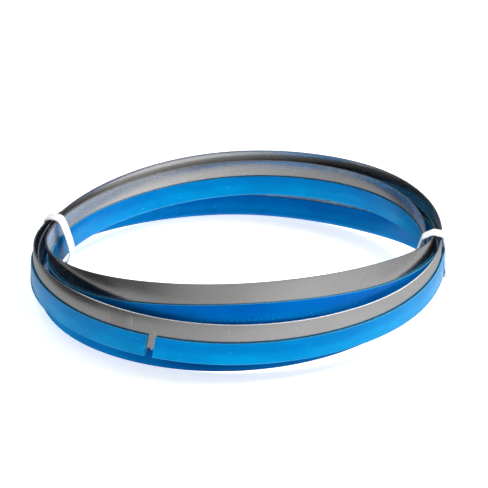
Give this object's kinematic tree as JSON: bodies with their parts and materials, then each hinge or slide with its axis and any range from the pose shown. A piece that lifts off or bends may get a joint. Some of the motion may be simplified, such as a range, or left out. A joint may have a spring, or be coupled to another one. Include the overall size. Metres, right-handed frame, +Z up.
{
  "type": "band saw blade",
  "caption": "Closed loop of toothed steel strip folded into three turns, in a clear plastic edge guard and tied with two flat straps.",
  "frame": {"origin": "middle of the coil's box, on the surface that the coil lies on", "axes": "+Z up through the coil, +X towards the right strap, -Y towards the side that the picture is taken from"},
  "size_m": [0.1609, 0.1626, 0.0352],
  "materials": {
    "band_steel": "rolled spring steel, satin, bright at the edge",
    "guard_plastic": "clear blue, glossy, the teeth showing through",
    "strap_plastic": "white, smooth"
  },
  "bodies": {
    "root": {"saw_band": "band_steel", "tooth_guard": "guard_plastic", "strap_left": "strap_plastic", "strap_right": "strap_plastic"}
  },
  "joints": []
}
